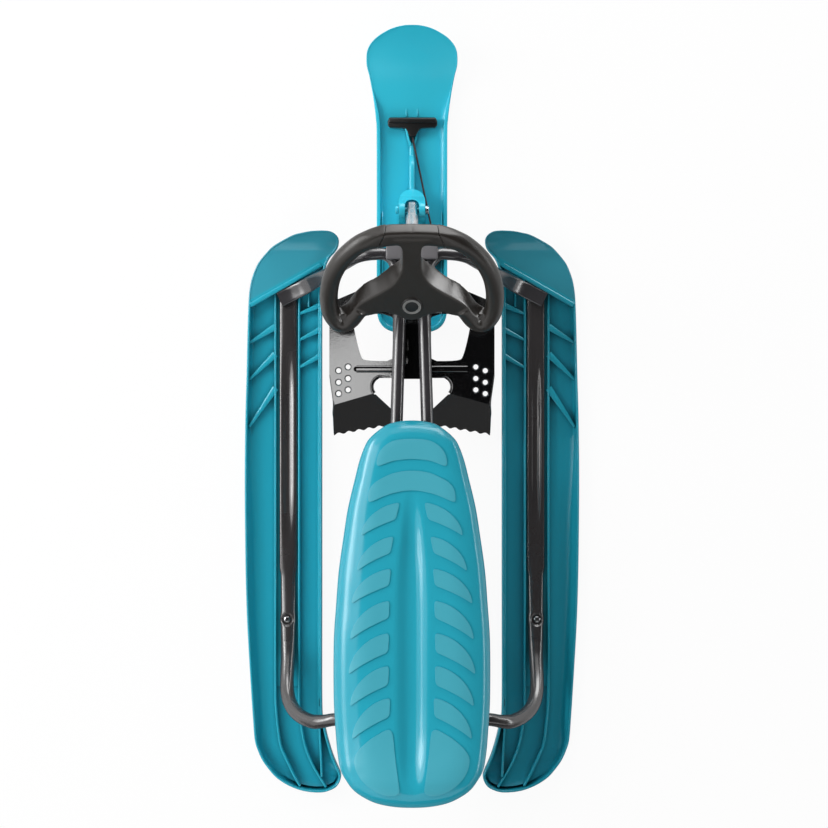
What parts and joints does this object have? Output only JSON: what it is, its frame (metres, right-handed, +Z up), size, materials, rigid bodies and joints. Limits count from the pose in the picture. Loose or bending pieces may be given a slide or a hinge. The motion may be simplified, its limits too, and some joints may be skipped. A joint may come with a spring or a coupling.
{
  "type": "steering sled",
  "caption": "Snow sled steered by a wheel: moulded rear skis and steered front ski on a bent tube frame, with moulded seat, toothed foot brake and retracting pull cord.",
  "frame": {"origin": "on the ground under the middle of the sled's outer box", "axes": "+Y forwards to the front ski's tip, +X to the rider's right, +Z up"},
  "size_m": [0.5218, 1.1881, 0.3333],
  "materials": {
    "frame_paint": "glossy dark grey paint",
    "brake_enamel": "glossy black enamel",
    "zinc_steel": "bright zinc plating",
    "bush_plastic": "plain white",
    "bracket_plastic": "satin grey",
    "ski_plastic": "glossy teal",
    "seat_plastic": "glossy teal with satin pads",
    "black_plastic": "satin black",
    "grip_plastic": "satin black",
    "cord_fibre": "black braid"
  },
  "bodies": {
    "frame": {"left_frame_tube": "frame_paint", "right_frame_tube": "frame_paint", "rear_hoop": "frame_paint", "head_tube": "zinc_steel", "upper_head_bush": "bush_plastic", "lower_head_bush": "bush_plastic", "left_head_bracket": "bracket_plastic", "right_head_bracket": "bracket_plastic", "centre_plate": "brake_enamel", "brake_pivot_rod": "zinc_steel", "left_rear_ski": "ski_plastic", "right_rear_ski": "ski_plastic", "left_rail_bolt": "zinc_steel", "right_rail_bolt": "zinc_steel", "left_front_screw": "zinc_steel", "right_front_screw": "zinc_steel", "seat": "seat_plastic", "front_seat_clamp": "frame_paint", "rear_seat_clamp": "frame_paint", "front_seat_screw": "zinc_steel", "rear_seat_screw": "zinc_steel", "left_tube_plug": "black_plastic", "right_tube_plug": "black_plastic"},
    "steering": {"steering_shaft": "zinc_steel", "shaft_collar": "zinc_steel", "wheel_centre": "black_plastic", "left_grip": "grip_plastic", "right_grip": "grip_plastic", "hub_cap": "black_plastic", "wheel_bolt": "zinc_steel"},
    "front_ski": {"front_ski": "ski_plastic", "ski_axle": "zinc_steel", "ski_axle_nut": "zinc_steel", "reel_housing": "black_plastic", "reel_spindle": "zinc_steel", "reel_spring": "zinc_steel"},
    "handle": {"pull_handle": "black_plastic", "pull_cord": "cord_fibre"},
    "spool": {"reel_spool": "bush_plastic", "cord_winding": "cord_fibre"},
    "brake": {"brake_plate": "brake_enamel", "brake_spring": "zinc_steel"}
  },
  "joints": [
    {"name": "steer", "type": "hinge", "parent": "frame", "child": "steering", "pos_m": [0, 0.3109, 0.075], "axis": [0, -0.6947, 0.7193], "range_deg": [-25, 25]},
    {"name": "ski_pitch", "type": "hinge", "parent": "steering", "child": "front_ski", "pos_m": [0, 0.3109, 0.075], "axis": [1, 0, 0], "range_deg": [-10, 10]},
    {"name": "brake_press", "type": "hinge", "parent": "frame", "child": "brake", "pos_m": [0, 0.1564, 0.10805], "axis": [1, 0, 0], "range_deg": [0, 14], "stiffness_Nm_per_rad": 2.5, "springref_deg": -34.38, "deforming": ["brake_spring"]},
    {"name": "handle_pull", "type": "slide", "parent": "front_ski", "child": "handle", "axis": [-0.2054, 0.9787, 0], "range_m": [0, 0.02], "stiffness_N_per_m": 20, "springref_m": -0.1},
    {"name": "reel_spin", "type": "hinge", "parent": "front_ski", "child": "spool", "pos_m": [0.01993, 0.24766, 0.02], "axis": [0, 0, 1], "range_deg": [0, 65]}
  ],
  "couplings": [
    {"joint": "reel_spin", "follows": "handle_pull", "rad_per_m": 54.348}
  ]
}
